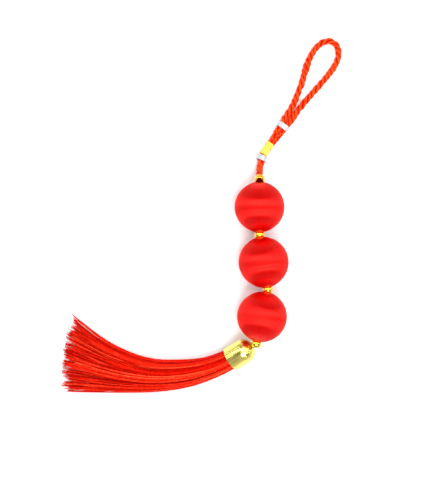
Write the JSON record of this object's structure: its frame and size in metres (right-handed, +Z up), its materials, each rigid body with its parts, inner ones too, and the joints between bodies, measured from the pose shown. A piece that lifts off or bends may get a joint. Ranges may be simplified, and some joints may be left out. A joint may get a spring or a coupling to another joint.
{
  "type": "hanging tassel charm",
  "caption": "Festive hanging charm: twisted cord loop with thread whippings, silk-wound balls strung between gold beads, and a bell cap with a thread tassel.",
  "frame": {"origin": "on the surface that the charm lies on, under the middle of the box of its beads, balls, cap and tassel", "axes": "+Z up from the surface that it lies on; +Y towards the hanging loop's end; -X towards the tassel's tips"},
  "size_m": [0.1417, 0.1816, 0.0252],
  "materials": {
    "cord": "twisted satin cord, orange red",
    "silver_thread": "wound silver-white thread",
    "yellow_thread": "wound lemon yellow thread",
    "gold_bead": "polished warm gold",
    "ball_core": "plain turned wood, hidden",
    "silk_thread": "red silk thread wound from pole to pole, satin",
    "core_string": "dark red string",
    "cap_gold": "bright pale gold plating, mirror",
    "tassel_thread": "loose red rayon threads"
  },
  "bodies": {
    "hanging_cord": {"loop_cord": "cord", "stem_cord": "cord", "tail_cord": "cord", "upper_silver_whipping": "silver_thread", "yellow_whipping": "yellow_thread", "lower_silver_whipping": "silver_thread"},
    "bead_1": {"bead_1": "gold_bead"},
    "string_1": {"core_string_1": "core_string"},
    "ball_1": {"ball_1_core": "ball_core", "ball_1_winding": "silk_thread"},
    "bead_2": {"bead_2": "gold_bead"},
    "string_2": {"core_string_2": "core_string"},
    "ball_2": {"ball_2_core": "ball_core", "ball_2_winding": "silk_thread"},
    "bead_3": {"bead_3": "gold_bead"},
    "string_3": {"core_string_3": "core_string"},
    "ball_3": {"ball_3_core": "ball_core", "ball_3_winding": "silk_thread"},
    "bead_4": {"bead_4": "gold_bead"},
    "cap_hanger": {"cap_string": "core_string", "tassel_knot": "core_string", "tassel_head": "tassel_thread", "tassel_binding": "core_string"},
    "cap": {"bell_cap": "cap_gold"},
    "tassel": {"tassel_skirt": "tassel_thread"}
  },
  "joints": [
    {"name": "bead_1_spin", "type": "hinge", "parent": "hanging_cord", "child": "bead_1", "pos_m": [0.0426, 0.053, 0.0125], "axis": [0, -0.4226, 0.9063], "continuous": true},
    {"name": "bend_at_bead_1", "type": "hinge", "parent": "hanging_cord", "child": "string_1", "pos_m": [0.0426, 0.053, 0.0125], "axis": [0, 0, 1], "range_deg": [-30, 30]},
    {"name": "ball_1_spin", "type": "hinge", "parent": "string_1", "child": "ball_1", "pos_m": [0.0426, 0.039, 0.0125], "axis": [0, -1, 0], "continuous": true},
    {"name": "bead_2_spin", "type": "hinge", "parent": "string_1", "child": "bead_2", "pos_m": [0.0426, 0.025, 0.0125], "axis": [0, -1, 0], "continuous": true},
    {"name": "bend_at_bead_2", "type": "hinge", "parent": "string_1", "child": "string_2", "pos_m": [0.0426, 0.025, 0.0125], "axis": [0, 0, 1], "range_deg": [-35, 30]},
    {"name": "ball_2_spin", "type": "hinge", "parent": "string_2", "child": "ball_2", "pos_m": [0.04467, 0.01115, 0.0125], "axis": [0.1478, -0.989, 0], "continuous": true},
    {"name": "bead_3_spin", "type": "hinge", "parent": "string_2", "child": "bead_3", "pos_m": [0.04674, -0.00269, 0.0125], "axis": [0.1478, -0.989, 0], "continuous": true},
    {"name": "bend_at_bead_3", "type": "hinge", "parent": "string_2", "child": "string_3", "pos_m": [0.04674, -0.00269, 0.0125], "axis": [0, 0, 1], "range_deg": [-20, 40]},
    {"name": "ball_3_spin", "type": "hinge", "parent": "string_3", "child": "ball_3", "pos_m": [0.04383, -0.01639, 0.0125], "axis": [-0.2079, -0.9781, 0], "continuous": true},
    {"name": "bead_4_spin", "type": "hinge", "parent": "string_3", "child": "bead_4", "pos_m": [0.04092, -0.03008, 0.0125], "axis": [-0.2079, -0.9781, 0], "continuous": true},
    {"name": "bend_at_bead_4", "type": "hinge", "parent": "string_3", "child": "cap_hanger", "pos_m": [0.04092, -0.03008, 0.0125], "axis": [0, 0, 1], "range_deg": [-15, 75]},
    {"name": "cap_spin", "type": "hinge", "parent": "cap_hanger", "child": "cap", "pos_m": [0.02839, -0.03815, 0.00608], "axis": [0.7948, 0.5122, 0.3256], "continuous": true},
    {"name": "tassel_sweep", "type": "hinge", "parent": "cap_hanger", "child": "tassel", "pos_m": [0.02839, -0.03815, 0.00608], "axis": [0, 0, 1], "range_deg": [-15, 15]}
  ]
}
